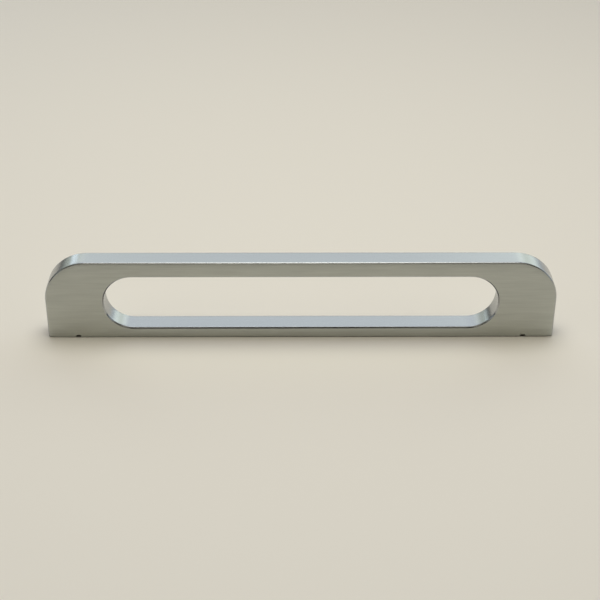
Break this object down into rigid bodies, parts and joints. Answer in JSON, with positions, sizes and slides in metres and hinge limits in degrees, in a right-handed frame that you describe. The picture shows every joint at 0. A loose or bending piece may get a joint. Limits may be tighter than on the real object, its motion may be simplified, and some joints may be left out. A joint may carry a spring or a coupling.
{
  "type": "bridge pull handle",
  "caption": "Flat one-piece bridge pull handle with rounded upper corners, a long round-ended finger slot and blind tapped holes in its base.",
  "frame": {"origin": "middle of the base's underside, halfway between the two fixing holes, where the handle meets the door or drawer", "axes": "+X along the handle, +Y across its thickness, +Z away from the surface that it is screwed to"},
  "size_m": [0.218, 0.01, 0.0368],
  "materials": {
    "brushed_metal": "fine brushed along the length on both broad faces, satin on the edges and in the slot"
  },
  "bodies": {
    "root": {"pull_handle": "brushed_metal"}
  },
  "joints": []
}
